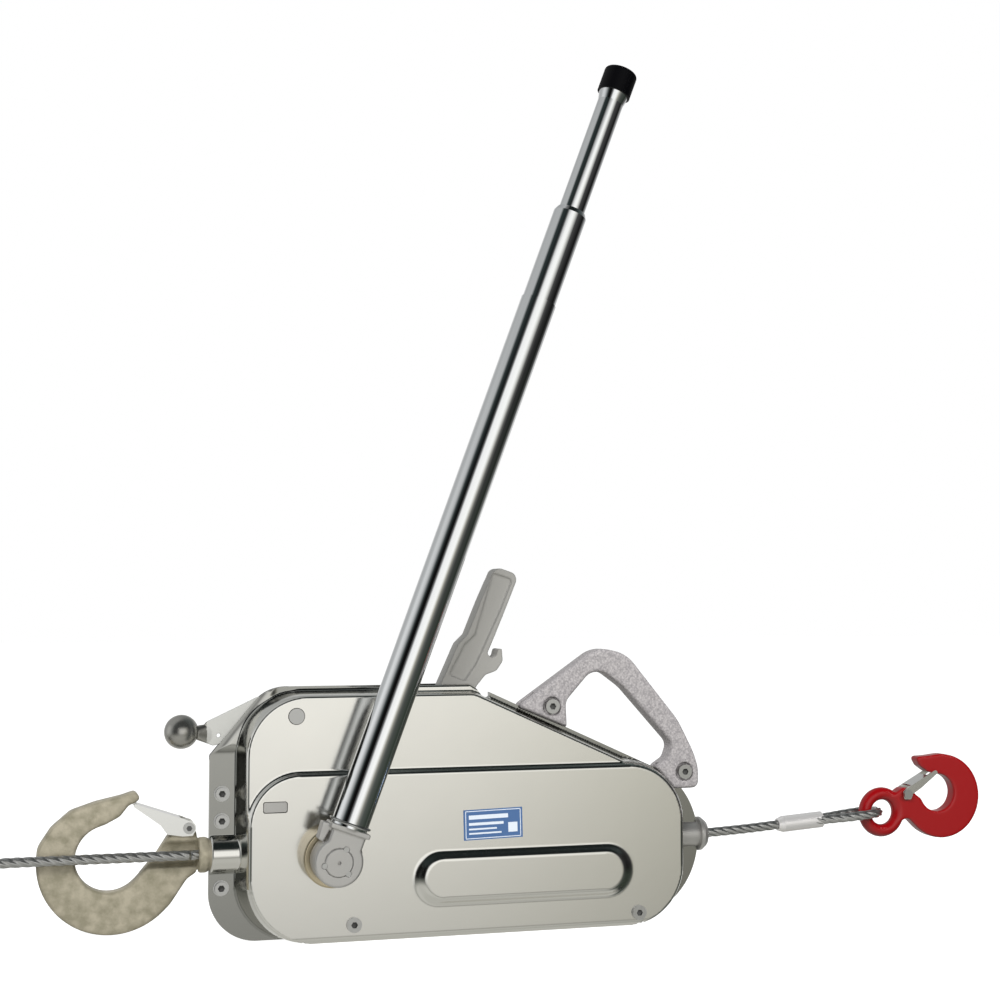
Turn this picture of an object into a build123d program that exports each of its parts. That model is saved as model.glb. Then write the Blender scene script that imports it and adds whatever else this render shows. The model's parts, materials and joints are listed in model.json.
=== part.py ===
"""Through-rope lever puller (come-along winch), 800 kg class.

+X runs along the rope towards the load hook, +Z is up, -Y faces the operator's lever.
The origin is on the floor, under the middle of the casing. Millimetres.
"""
from build123d import *
import math
import os

os.makedirs("parts", exist_ok=True)

# ---------------------------------------------------------------- driving dimensions
ROPE_Z = 71.0  # height of the rope line, the lever shaft and the hook shank
ROPE_R = 4.15  # 8.3 mm wire rope
CASING_L = 428.0
CASING_H = 206.0
HALF_L = CASING_L / 2
SHEET = 2.5  # flange thickness of each pressed shell
WALL = 2.2
UPPER_DEPTH = 27.0  # parting plane to the upper panel
LOWER_DEPTH = 31.0  # parting plane to the raised lower panel
STADIUM_DEPTH = 36.0  # parting plane to the long emboss
HUB_X = -120.0  # lever shaft
LEVER_FACE = 74.0  # parting plane to the front of the lever's eye
TUBE_DEPTH = 62.0  # parting plane to the handle's axis
TUBE_R = 15.0
LEAN = 20.3  # the handle leans this many degrees towards +X at rest
CRANK_R = 30.0


def save(piece, name):
    """Label one finished piece and write its STEP file."""
    piece.part.label = name
    export_step(piece.part, "parts/" + name + ".step")


def face(plane, corners, radii):
    """A face whose corners are rounded to the given radii."""
    with BuildSketch(plane) as sketch:
        with BuildLine():
            FilletPolyline(*corners, radius=radii, close=True)
        make_face()
    return sketch.sketch


def front(depth):
    """The XZ plane, depth mm in front of the parting plane (negative is behind)."""
    return Plane.XZ.offset(depth)


def along_x(x, y=0.0, z=ROPE_Z):
    """A plane that faces +X, with its origin at the given place."""
    return Plane(origin=(x, y, z), x_dir=(0, 1, 0), z_dir=(1, 0, 0))


def disc(x, z, depth, radius, length):
    """A round bar along Y, from depth towards the operator."""
    with BuildPart() as bar:
        with BuildSketch(front(depth)):
            with Locations((x, z)):
                Circle(radius)
        extrude(amount=length)
    return bar.part


def rod_x(x, radius, length, y=0.0, z=ROPE_Z):
    """A round bar along +X."""
    with BuildPart() as bar:
        with BuildSketch(along_x(x, y, z)):
            Circle(radius)
        extrude(amount=length)
    return bar.part


# ---------------------------------------------------------------- casing shells
FLANGE = [(-HALF_L, 0), (HALF_L, 2), (HALF_L, 112.3), (6.5, CASING_H), (-168, CASING_H), (-HALF_L, 151)]
FLANGE_R = [40, 66.5, 66.5, 25, 35, 3]
BASE = [(-195, 0), (201, 0), (201, 114.9), (4.9, 203.5), (-195, 203.5)]
BASE_R = [50, 58, 58, 22, 52]
UPPER = [(-185, 0), (189, 0), (189, 114.2), (3.4, 198), (-185, 198)]
UPPER_R = [52, 50, 50, 20, 48]
LOWER_FOOT = [(-187.4, 0), (191.4, 0), (191.4, 139), (-187.4, 139)]
LOWER_FOOT_R = [54, 50, 52, 44]
LOWER = [(-183.5, 0), (187.5, 0), (187.5, 134.5), (-183.5, 134.5)]
LOWER_R = [54, 50, 48, 40]
PANEL_BEND = 6.0


def inward(corners, step):
    """Corners of a convex outline moved step mm towards the inside, edge by edge."""
    moved = []
    for i, here in enumerate(corners):
        before = corners[i - 1]
        after = corners[(i + 1) % len(corners)]
        one = Vector(here[0] - before[0], here[1] - before[1]).normalized()
        two = Vector(after[0] - here[0], after[1] - here[1]).normalized()
        share = step / (1 + one.dot(two))
        left_one = Vector(-one.Y, one.X)
        left_two = Vector(-two.Y, two.X)
        moved.append((here[0] + share * (left_one + left_two).X, here[1] + share * (left_one + left_two).Y))
    return moved


def thinner(radii, step):
    return [radius - step for radius in radii]


def pressed_form(inset):
    """The solid under the pressed skin: inset 0 for its outside, WALL for its cavity."""
    bend = PANEL_BEND - inset
    with BuildPart() as upper:
        loft([
            face(front(0), inward(BASE, inset), thinner(BASE_R, inset)),
            face(front(UPPER_DEPTH - inset), inward(UPPER, inset), thinner(UPPER_R, inset)),
        ], ruled=True)
        fillet(upper.faces().sort_by(Axis.Y)[0].edges(), bend)
    with BuildPart() as lower:
        loft([
            face(front(18), inward(LOWER_FOOT, inset), thinner(LOWER_FOOT_R, inset)),
            face(front(LOWER_DEPTH - inset), inward(LOWER, inset), thinner(LOWER_R, inset)),
        ], ruled=True)
        fillet(lower.faces().sort_by(Axis.Y)[0].edges(), bend - 1)
    with BuildPart() as form:
        add(upper.part)
        add(lower.part)
    return form.part


STADIUM_X = 45.9
STADIUM_Z = 48.0
EAR_LEFT = (77.0, 186.0)
EAR_RIGHT = (199.2, 126.7)
EAR_R = 9.5
BOLT_X = -204.0
BOLT_Z = [120.0, 98.0, 44.0]
LOW_SCREWS = [(-99.5, 14.0), (147.6, 11.0)]
BOSS_R = 15.0
NECK_R = 12.4  # swivel neck of the anchor hook, and its bore in the boss
NECK_BORE = 12.5
SLOT_LOW_X = -62.0
SLOT_HIGH_X = 22.0
SLOT_HALF = 10.5
PLATE_HALF = 1.6  # half the thickness of the release lever's plate


def stadium_form(foot, top, inset, bend):
    """The long emboss on the lower panel, from depth foot to depth top."""
    with BuildPart() as emboss:
        with BuildSketch(front(foot)):
            with Locations((STADIUM_X, STADIUM_Z)):
                SlotOverall(193.4 - 1.5 * inset, 45.6 - 1.5 * inset)
        with BuildSketch(front(top)):
            with Locations((STADIUM_X, STADIUM_Z)):
                SlotOverall(171 - inset, 31 - inset)
        loft(ruled=True)
        fillet(emboss.faces().sort_by(Axis.Y)[0].edges(), bend)
    return emboss.part


def shell_blank():
    """The half of the casing that faces the operator, before its own holes."""
    with BuildPart() as blank:
        add(pressed_form(0))
        extrude(face(front(0), FLANGE, FLANGE_R), amount=SHEET)
        for ear in (EAR_LEFT, EAR_RIGHT):
            with BuildSketch(front(0)):
                with Locations(ear):
                    Circle(EAR_R)
            extrude(amount=SHEET)
        # ties from the ears down to the flange
        extrude(face(front(0), [(66, 182), (88, 182), (88, 165), (66, 172)], 0), amount=SHEET)
        extrude(face(front(0), [(188, 128), (203, 119), (196, 108), (180, 118)], 0), amount=SHEET)
        # joggled strip over the release lever's plate
        joggle = [(-212, 152), (-186, 152), (-158, 186), (-158, 206), (-168, 206)]
        extrude(face(front(0), joggle, 0), amount=4.4)
        # collar of the reverse lever's slot
        lip = [
            (SLOT_LOW_X - 3, 190), (SLOT_HIGH_X - 2, 190), (SLOT_HIGH_X - 9, 202.5), (4, CASING_H),
            (SLOT_LOW_X - 3, CASING_H),
        ]
        extrude(face(front(SLOT_HALF), lip, 0), amount=SHEET)
        add(stadium_form(LOWER_DEPTH - 1, STADIUM_DEPTH, 0, 2.5))
        # cavity
        add(pressed_form(WALL), mode=Mode.SUBTRACT)
        add(stadium_form(LOWER_DEPTH - WALL - 1, STADIUM_DEPTH - WALL, 4, 1.0), mode=Mode.SUBTRACT)
        # half-round boss for the hook's neck, and its bore
        add(rod_x(-213, BOSS_R, 26))
        with BuildSketch(front(-40)):
            with Locations((-200, ROPE_Z)):
                Rectangle(60, 60)
        extrude(amount=40, mode=Mode.SUBTRACT)
        add(rod_x(-220, NECK_BORE, 45), mode=Mode.SUBTRACT)
        # the slot that the release lever's plate passes through
        extrude(
            face(front(-1), [(-222, 147), (-192, 147), (-150, 186), (-140, 215), (-222, 215)], 0),
            amount=PLATE_HALF + 1.3,
            mode=Mode.SUBTRACT,
        )
        # the slot that the reverse lever passes through
        opening = [(SLOT_LOW_X, 188), (SLOT_HIGH_X, 188), (SLOT_HIGH_X, 215), (SLOT_LOW_X, 215)]
        extrude(face(front(-1), opening, 0), amount=SLOT_HALF + 1, mode=Mode.SUBTRACT)
        # rope nose seat in the right-hand edge
        add(rod_x(180, 11.0, 40), mode=Mode.SUBTRACT)
        # fastener holes
        for z in BOLT_Z:
            add(disc(BOLT_X, z, -1, 3.1, 12), mode=Mode.SUBTRACT)
        for x, z in LOW_SCREWS:
            add(disc(x, z, -1, 3.1, 40), mode=Mode.SUBTRACT)
        for ear in (EAR_LEFT, EAR_RIGHT):
            add(disc(ear[0], ear[1], -1, 3.6, 8), mode=Mode.SUBTRACT)
    return blank.part


shell = shell_blank()
TIE = (-164.3, 110.7)
TIE_SIZE = (18.7, 8.0)
RELEASE_PIVOT = (-147.0, 183.0)
SPIGOT_R = 17.0


TAB_W = 20.0  # locating tab of the front half, in the middle of the casing's foot
TAB_OUT = 5.0


def through(x, z, radius):
    """A bar along Y that is longer than the casing is deep."""
    return disc(x, z, -45, radius, 90)


def tie_bar(low, high, grow):
    """The cross tie between depths low and high, grow mm larger all round."""
    with BuildPart() as bar:
        with BuildSketch(front(low)):
            with Locations(TIE):
                RectangleRounded(TIE_SIZE[0] + 2 * grow, TIE_SIZE[1] + 2 * grow, 1.5)
        extrude(amount=high - low)
    return bar.part


with BuildPart() as front_shell:
    add(shell)
    add(disc(HUB_X, ROPE_Z, 20, SPIGOT_R, 15), mode=Mode.SUBTRACT)
    add(tie_bar(20, 35, 0.3), mode=Mode.SUBTRACT)
    add(through(*RELEASE_PIVOT, 6.4), mode=Mode.SUBTRACT)
    with Locations((0, 0, SHEET / 2)):
        Box(TAB_W, 2 * TAB_OUT, SHEET)
save(front_shell, "front_shell")

with BuildPart() as rear_shell:
    mirror(shell, about=Plane.XZ)
    add(disc(HUB_X, ROPE_Z, -35, SPIGOT_R, 15), mode=Mode.SUBTRACT)
    add(tie_bar(-35, -20, 0.3), mode=Mode.SUBTRACT)
    add(through(*RELEASE_PIVOT, 6.4), mode=Mode.SUBTRACT)
    with Locations((0, 0, SHEET / 2)):
        Box(TAB_W + 0.6, 2 * TAB_OUT + 0.6, 2 * SHEET, mode=Mode.SUBTRACT)
save(rear_shell, "rear_shell")

with BuildPart() as shell_tie_bar:
    add(tie_bar(-30.6, 30.6, 0))
save(shell_tie_bar, "shell_tie_bar")

# ---------------------------------------------------------------- casing fasteners
with BuildPart() as flange_bolts:
    for bolt_z in BOLT_Z:
        add(disc(BOLT_X, bolt_z, -7.5, 3.0, 10))
        add(disc(BOLT_X, bolt_z, SHEET, 6.4, 1.2))
        add(disc(BOLT_X, bolt_z, SHEET + 1.2, 5.2, 3.2))
        with BuildSketch(front(SHEET + 2.0)):
            with Locations((BOLT_X, bolt_z)):
                RegularPolygon(2.9, 6)
        extrude(amount=5, mode=Mode.SUBTRACT)
save(flange_bolts, "flange_bolts")

with BuildPart() as flange_nuts:
    for bolt_z in BOLT_Z:
        with BuildSketch(front(-SHEET - 5.0)):
            with Locations((BOLT_X, bolt_z)):
                RegularPolygon(5.6, 6)
                Circle(3.0, mode=Mode.SUBTRACT)
        extrude(amount=5.0)
save(flange_nuts, "flange_nuts")

with BuildPart() as low_screws:
    for screw_x, screw_z in LOW_SCREWS:
        add(disc(screw_x, screw_z, -31, 3.0, 62))
        add(disc(screw_x, screw_z, LOWER_DEPTH, 6.2, 2.2))
        with BuildSketch(front(LOWER_DEPTH + 0.6)):
            with Locations((screw_x, screw_z)):
                RegularPolygon(2.8, 6)
        extrude(amount=5, mode=Mode.SUBTRACT)
save(low_screws, "low_screws")

with BuildPart() as low_nuts:
    for screw_x, screw_z in LOW_SCREWS:
        with BuildSketch(front(-LOWER_DEPTH - 4.0)):
            with Locations((screw_x, screw_z)):
                RegularPolygon(5.6, 6)
        extrude(amount=4.0)
save(low_nuts, "low_nuts")

with BuildPart() as spacer_tubes:
    for screw_x, screw_z in LOW_SCREWS:
        with BuildSketch(front(-LOWER_DEPTH + WALL)):
            with Locations((screw_x, screw_z)):
                Circle(5.0)
                Circle(3.0, mode=Mode.SUBTRACT)
        extrude(amount=2 * (LOWER_DEPTH - WALL))
save(spacer_tubes, "spacer_tubes")

# ---------------------------------------------------------------- rope guides and rails
with BuildPart() as nose_guide:
    add(rod_x(186, 11.0, 28))
    with BuildSketch(along_x(214)):
        Circle(14.6)
    extrude(amount=3)
    with BuildSketch(along_x(217)):
        Circle(14.6)
    extrude(amount=4.5, taper=38)
    fillet(nose_guide.faces().sort_by(Axis.X)[-1].edges(), 2)
    add(rod_x(180, 5.2, 60), mode=Mode.SUBTRACT)
save(nose_guide, "rope_nose_guide")

RAIL_IN = 14.7
with BuildPart() as guide_rails:
    for low in (RAIL_IN, -LOWER_DEPTH + WALL):
        with BuildSketch(front(low)):
            with Locations((57.5, ROPE_Z)):
                Rectangle(245, 16)
        extrude(amount=LOWER_DEPTH - WALL - RAIL_IN)
save(guide_rails, "jaw_guide_rails")

# ---------------------------------------------------------------- shaft bushes
with BuildPart() as front_bush:
    add(disc(HUB_X, ROPE_Z, LOWER_DEPTH, 24.0, 17))
    fillet(front_bush.faces().sort_by(Axis.Y)[0].edges(), 1.5)
    add(disc(HUB_X, ROPE_Z, 20, SPIGOT_R, 11))
    add(disc(HUB_X, ROPE_Z, 10, 11.3, 50), mode=Mode.SUBTRACT)
save(front_bush, "front_shaft_bush")

with BuildPart() as rear_bush:
    add(disc(HUB_X, ROPE_Z, -LOWER_DEPTH - 6, 22, 6))
    fillet(rear_bush.faces().sort_by(Axis.Y)[-1].edges(), 1.5)
    add(disc(HUB_X, ROPE_Z, -LOWER_DEPTH, SPIGOT_R, 11))
    add(disc(HUB_X, ROPE_Z, -34, 11.3, 20), mode=Mode.SUBTRACT)
save(rear_bush, "rear_shaft_bush")

# ---------------------------------------------------------------- crank and forward lever
LEAN_RAD = math.radians(LEAN)
UP = Vector(math.sin(LEAN_RAD), math.cos(LEAN_RAD))  # along the handle, in X and Z
SIDE = Vector(math.cos(LEAN_RAD), -math.sin(LEAN_RAD))  # across the handle
SHAFT_R = 11.25
CHEEK_IN = 9.0
CHEEK_OUT = 14.0
PIN_R = 5.0


def on_lever(along, across):
    """X and Z of a place on the lever, measured from the shaft."""
    place = UP * along + SIDE * across
    return (HUB_X + place.X, ROPE_Z + place.Y)


CRANK_TOP = on_lever(CRANK_R, 0)
CRANK_LOW = on_lever(-CRANK_R, 0)
SHEAR_ANGLES = [60, 190, 310]
SHEAR_R = 2.2


def shear_bars(low, length):
    """The three shear pins, which sit half in the shaft and half in the lever's eye."""
    with BuildPart() as bars:
        with BuildSketch(front(low)):
            for angle in SHEAR_ANGLES:
                x = HUB_X + (SHAFT_R + 0.4) * math.cos(math.radians(angle))
                z = ROPE_Z + (SHAFT_R + 0.4) * math.sin(math.radians(angle))
                with Locations((x, z)):
                    Circle(SHEAR_R)
        extrude(amount=length)
    return bars.part


def crank_half(depth, journal_low, journal_length):
    """A cheek with two arms, and the journal on its outside."""
    with BuildPart() as half:
        with BuildSketch(front(depth)):
            with Locations(Location((HUB_X, ROPE_Z, 0), (0, 0, 90 - LEAN))):
                SlotOverall(2 * CRANK_R + 24, 24)
            for place in (CRANK_TOP, CRANK_LOW):
                with Locations(place):
                    Circle(PIN_R, mode=Mode.SUBTRACT)
        extrude(amount=CHEEK_OUT - CHEEK_IN)
        add(disc(HUB_X, ROPE_Z, journal_low, SHAFT_R, journal_length))
    return half.part


with BuildPart() as crank_front:
    add(crank_half(CHEEK_IN, CHEEK_IN, LEVER_FACE - CHEEK_IN))
    chamfer(crank_front.faces().sort_by(Axis.Y)[0].edges(), 0.8)
    with BuildSketch(front(LEVER_FACE)):
        with Locations((HUB_X, ROPE_Z)):
            Circle(1.6)
    extrude(amount=-2.5, mode=Mode.SUBTRACT)
    add(shear_bars(58, 30), mode=Mode.SUBTRACT)
save(crank_front, "crank_front_half")

with BuildPart() as crank_rear:
    add(crank_half(-CHEEK_OUT, -33.5, 33.5 - CHEEK_IN))
save(crank_rear, "crank_rear_half")

with BuildPart() as crank_pins:
    for place in (CRANK_TOP, CRANK_LOW):
        add(disc(*place, -CHEEK_OUT, PIN_R, 2 * CHEEK_OUT))
save(crank_pins, "crank_pins")

with BuildPart() as shear_pins:
    add(shear_bars(58, 15.2))
save(shear_pins, "shear_pins")

LEVER_BACK = 49.5
EYE_R = 19.6
NECK_T = 27.0
NECK_HALF = 14.0
HANDLE = Plane(
    origin=(HUB_X, -TUBE_DEPTH, ROPE_Z),
    x_dir=(0, 1, 0),
    z_dir=(UP.X, 0, UP.Y),
)


def on_handle(low, high, outer, inner=0.0):
    """A round bar or tube along the handle, between two distances from the shaft."""
    with BuildPart() as tube:
        with BuildSketch(HANDLE.offset(low)):
            Circle(outer)
            if inner:
                Circle(inner, mode=Mode.SUBTRACT)
        extrude(amount=high - low)
    return tube.part


with BuildPart() as forward_lever:
    with BuildSketch(front(LEVER_BACK)):
        with Locations((HUB_X, ROPE_Z)):
            Circle(EYE_R)
        with BuildLine():
            Polyline(
                on_lever(5, -NECK_HALF), on_lever(NECK_T, -NECK_HALF), on_lever(NECK_T, NECK_HALF),
                on_lever(5, NECK_HALF),
                close=True,
            )
        make_face()
    extrude(amount=73.2 - LEVER_BACK)
    fillet(forward_lever.faces().sort_by(Axis.Y)[0].edges(), 1.6)
    fillet(forward_lever.faces().sort_by(Axis.Y)[-1].edges(), 1.6)
    extrude(
        face(front(56), [on_lever(11, -17), on_lever(12, -21.5), on_lever(26, -22.5), on_lever(27, -14)], 0),
        amount=12,
    )
    extrude(
        face(front(LEVER_BACK), [on_lever(NECK_T - 3, -16.5), on_lever(NECK_T + 1, -16.5),
                                 on_lever(NECK_T + 1, 16.5), on_lever(NECK_T - 3, 16.5)], 0),
        amount=25,
    )
    add(on_handle(NECK_T, NECK_T + 60, 13.2))
    add(disc(HUB_X, ROPE_Z, 40, SHAFT_R, 50), mode=Mode.SUBTRACT)
    add(shear_bars(58, 30), mode=Mode.SUBTRACT)
save(forward_lever, "forward_lever")

TUBE_LOW = NECK_T + 1
TUBE_HIGH = 486.0
COLLAR_HIGH = 570.0
COLLAR_R = 14.2
INNER_R = 11.0
GRIP_LOW = 680.0
HANDLE_END = 702.0

with BuildPart() as outer_tube:
    add(on_handle(TUBE_LOW, TUBE_HIGH, TUBE_R, 13.2))
save(outer_tube, "handle_outer_tube")

with BuildPart() as collar:
    add(on_handle(TUBE_HIGH - 20, TUBE_HIGH, 13.2, INNER_R + 0.1))
    add(on_handle(TUBE_HIGH, COLLAR_HIGH - 4, COLLAR_R, INNER_R + 0.1))
    with BuildSketch(HANDLE.offset(COLLAR_HIGH - 4)):
        Circle(COLLAR_R)
    with BuildSketch(HANDLE.offset(COLLAR_HIGH)):
        Circle(12.2)
    loft(ruled=True)
    add(on_handle(TUBE_HIGH - 30, COLLAR_HIGH + 10, INNER_R + 0.1), mode=Mode.SUBTRACT)
save(collar, "handle_guide_collar")

with BuildPart() as lever_clip:
    clip_middle = HANDLE.offset(TUBE_LOW + 3).origin
    with BuildSketch(Plane(origin=clip_middle, x_dir=HANDLE.z_dir, z_dir=HANDLE.y_dir)):
        with Locations((0, TUBE_R + 1.15)):
            Circle(1.1)
    revolve(axis=Axis(HANDLE.origin, HANDLE.z_dir), revolution_arc=360)
save(lever_clip, "handle_clip_ring")

with BuildPart() as inner_tube:
    with BuildSketch(HANDLE.offset(GRIP_LOW - 8)):
        Circle(INNER_R)
    with BuildSketch(HANDLE.offset(GRIP_LOW)):
        Circle(12.8)
    loft(ruled=True)
    add(on_handle(446, 694, INNER_R))
    add(on_handle(440, 700, 9.2), mode=Mode.SUBTRACT)
save(inner_tube, "handle_inner_tube")

with BuildPart() as stop_ring:
    add(on_handle(446, 456, 12.9, INNER_R))
save(stop_ring, "handle_stop_ring")

with BuildPart() as grip_cap:
    add(on_handle(GRIP_LOW, HANDLE_END, 14.3))
    fillet(grip_cap.faces().sort_by(Axis.Z)[-1].edges(), 3.0)
    add(on_handle(GRIP_LOW - 5, 694, INNER_R), mode=Mode.SUBTRACT)
save(grip_cap, "handle_end_cap")

# ---------------------------------------------------------------- connecting rods
ROD_HALF = 6.0
EYE_OUT = 12.0
FRONT_PIN = (-25.0, CRANK_TOP[1])
REAR_PIN = (90.0, CRANK_LOW[1])


def connecting_rod(crank, far, slot_mid):
    """A flat rod between a crank pin and the upright slot that drives a jaw block's pin."""
    with BuildPart() as rod:
        with BuildSketch(front(-ROD_HALF)):
            with Locations(crank):
                Circle(EYE_OUT - 1)
            with Locations(far):
                RectangleRounded(26, 29, 9)
            with Locations(((crank[0] + far[0]) / 2, crank[1])):
                Rectangle(far[0] - crank[0], 12)
            with Locations(crank):
                Circle(PIN_R + 0.06, mode=Mode.SUBTRACT)
            with Locations((far[0] + slot_mid[0], far[1] + slot_mid[1])):
                SlotOverall(17.0, 2 * PIN_R + 1.6, rotation=90, mode=Mode.SUBTRACT)
        extrude(amount=2 * ROD_HALF)
    return rod.part


with BuildPart() as front_rod:
    add(connecting_rod(CRANK_TOP, FRONT_PIN, (0.45, 0.8)))
save(front_rod, "front_connecting_rod")

with BuildPart() as rear_rod:
    add(connecting_rod(CRANK_LOW, REAR_PIN, (-0.45, -0.8)))
save(rear_rod, "rear_connecting_rod")

# ---------------------------------------------------------------- jaw blocks
PLATE_IN = 10.0
PLATE_OUT = 14.0
JAW_HALF = 9.5
GROOVE_R = 4.5
JAW_PIN_R = 4.0
FRONT_JAWS = (10.0, 35.0)  # middle and length of the front pair of jaws
REAR_JAWS = (130.0, 40.0)


def block_plates(low, high, bottom, top, holes):
    """The two side plates of a jaw block, with their pin holes."""
    with BuildPart() as plates:
        for depth in (PLATE_IN, -PLATE_OUT):
            with BuildSketch(front(depth)):
                with Locations(((low + high) / 2, (bottom + top) / 2)):
                    RectangleRounded(high - low, top - bottom, 6)
                for x, z, radius in holes:
                    with Locations((x, z)):
                        Circle(radius, mode=Mode.SUBTRACT)
            extrude(amount=PLATE_OUT - PLATE_IN)
    return plates.part


def jaw(middle, length, low, high, pin_z):
    """One jaw: a block with a rope groove and a pin hole."""
    with BuildPart() as block:
        with BuildSketch(front(-JAW_HALF)):
            with Locations((middle, (low + high) / 2)):
                RectangleRounded(length, high - low, 2)
        extrude(amount=2 * JAW_HALF)
        add(rod_x(middle - length, GROOVE_R, 2 * length), mode=Mode.SUBTRACT)
        add(disc(middle, pin_z, -20, JAW_PIN_R, 40), mode=Mode.SUBTRACT)
    return block.part


FRONT_TOP_PIN = (FRONT_JAWS[0], 84.0, JAW_PIN_R)
FRONT_LOW_PIN = (FRONT_JAWS[0], 60.2, JAW_PIN_R)
REAR_TOP_PIN = (REAR_JAWS[0], 82.0, JAW_PIN_R)
REAR_LOW_PIN = (REAR_JAWS[0], 58.0, JAW_PIN_R)

with BuildPart() as front_block:
    add(block_plates(-38, 35, 50, 108, [(*FRONT_PIN, PIN_R), FRONT_TOP_PIN, FRONT_LOW_PIN]))
save(front_block, "front_jaw_block")

with BuildPart() as rear_block:
    add(block_plates(77, 155, 32, 92, [(*REAR_PIN, PIN_R), REAR_TOP_PIN, REAR_LOW_PIN]))
save(rear_block, "rear_jaw_block")

with BuildPart() as front_upper_jaw:
    add(jaw(FRONT_JAWS[0], FRONT_JAWS[1], ROPE_Z + 0.5, 92, FRONT_TOP_PIN[1]))
save(front_upper_jaw, "front_upper_jaw")

with BuildPart() as front_lower_jaw:
    add(jaw(FRONT_JAWS[0], FRONT_JAWS[1], 54.2, ROPE_Z - 0.5, FRONT_LOW_PIN[1]))
save(front_lower_jaw, "front_lower_jaw")

with BuildPart() as rear_upper_jaw:
    add(jaw(REAR_JAWS[0], REAR_JAWS[1], ROPE_Z + 0.5, 89, REAR_TOP_PIN[1]))
save(rear_upper_jaw, "rear_upper_jaw")

with BuildPart() as rear_lower_jaw:
    add(jaw(REAR_JAWS[0], REAR_JAWS[1], 50, ROPE_Z - 0.5, REAR_LOW_PIN[1]))
save(rear_lower_jaw, "rear_lower_jaw")

with BuildPart() as front_jaw_pins:
    add(disc(*FRONT_PIN, -PLATE_OUT, PIN_R, 2 * PLATE_OUT))
    for x, z, radius in (FRONT_TOP_PIN, FRONT_LOW_PIN):
        add(disc(x, z, -PLATE_OUT, radius, 2 * PLATE_OUT))
save(front_jaw_pins, "front_jaw_pins")

with BuildPart() as rear_jaw_pins:
    add(disc(*REAR_PIN, -PLATE_OUT, PIN_R, 2 * PLATE_OUT))
    for x, z, radius in (REAR_TOP_PIN, REAR_LOW_PIN):
        add(disc(x, z, -PLATE_OUT, radius, 2 * PLATE_OUT))
save(rear_jaw_pins, "rear_jaw_pins")

# ---------------------------------------------------------------- reverse lever
REVERSE_PIVOT = (-30.0, 150.0)
REVERSE_HALF = 9.0
REVERSE_OUT = [
    (26.6, 306), (47.5, 299), (36.5, 272), (26, 247), (19.5, 232), (22, 228), (27, 229.5),
    (28.5, 235.5), (32.5, 236), (33, 225), (27.5, 217), (17.5, 213.5), (9.7, 204), (-4, 172), (-18, 150),
    (-24, 132), (-30, 122), (-42, 124), (-41, 150), (-33, 176), (-22, 206), (-6.5, 240.5), (1.5, 248),
    (13, 276),
]
REVERSE_R = [7, 7, 0, 30, 2, 1.5, 1.5, 1.5, 1.5, 4, 6, 5, 4, 20, 20, 5, 4, 4, 10, 30, 8, 5, 5, 60]
REVERSE_WEB = [
    (24, 301), (42, 295), (31, 268), (15, 234), (9, 222), (-1, 208), (-15, 214), (-1, 240), (8, 248),
]

with BuildPart() as reverse_lever:
    extrude(face(front(-REVERSE_HALF), REVERSE_OUT, REVERSE_R), amount=2 * REVERSE_HALF)
    add(disc(*REVERSE_PIVOT, -REVERSE_HALF, 12, 2 * REVERSE_HALF))
    for depth in (REVERSE_HALF - 1.5, -REVERSE_HALF - 1):
        extrude(face(front(depth), REVERSE_WEB, 3), amount=2.5, mode=Mode.SUBTRACT)
    add(disc(*REVERSE_PIVOT, -20, 4.06, 40), mode=Mode.SUBTRACT)
save(reverse_lever, "reverse_lever")

with BuildPart() as reverse_pin:
    add(disc(*REVERSE_PIVOT, -24.8, 4.0, 49.6))
save(reverse_pin, "reverse_pivot_pin")

# ---------------------------------------------------------------- release lever
BALL = (-236.8, 170.5)
BALL_R = 13.8
RELEASE_OUT = [
    (-219.5, 177), (-214.5, 157.8), (-200, 161.5), (-170, 171.5), (-151.3, 172), (-151.3, 158.5),
    (-142, 158.5), (-138, 183), (-147, 195), (-175, 198),
]

with BuildPart() as release_lever:
    extrude(face(front(-1.5), RELEASE_OUT, [5, 5, 4, 4, 0, 2, 2, 0, 0, 4]), amount=3)
    add(disc(*RELEASE_PIVOT, -5, 12, 10))
    add(disc(-206.9, 167, -5, 1.6, 10), mode=Mode.SUBTRACT)
    with BuildSketch(along_x(-226, 0, 169.7)):
        Circle(5.4)
    with BuildSketch(along_x(-212, 0, 168)):
        Ellipse(1.5, 9)
    loft(ruled=True)
    add(disc(*RELEASE_PIVOT, -20, 6.46, 40), mode=Mode.SUBTRACT)
    with Locations((BALL[0], 0, BALL[1])):
        Sphere(BALL_R, mode=Mode.SUBTRACT)
save(release_lever, "release_lever")

with BuildPart() as release_ball:
    with Locations((BALL[0], 0, BALL[1])):
        Sphere(BALL_R)
save(release_ball, "release_lever_ball")

with BuildPart() as release_pin:
    add(disc(*RELEASE_PIVOT, -27.6, 6.4, 55.2))
save(release_pin, "release_pivot_pin")

BAR_LOW_Z = 158.0
BAR_OUT = [
    (-160, BAR_LOW_Z), (36, BAR_LOW_Z), (96, 126), (120, 116), (120, 100), (132, 100), (132, 122), (100, 136),
    (40, 168), (-160, 168),
]
with BuildPart() as release_bar:
    extrude(face(front(-20), BAR_OUT, 0), amount=4)
    extrude(face(front(-16), [(-160, BAR_LOW_Z), (-152, BAR_LOW_Z), (-152, 168), (-160, 168)], 0), amount=19)
    extrude(face(front(-20), [(-4, 100), (8, 100), (8, 160), (-4, 160)], [5, 5, 0, 0]), amount=4)
save(release_bar, "release_bar")

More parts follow.
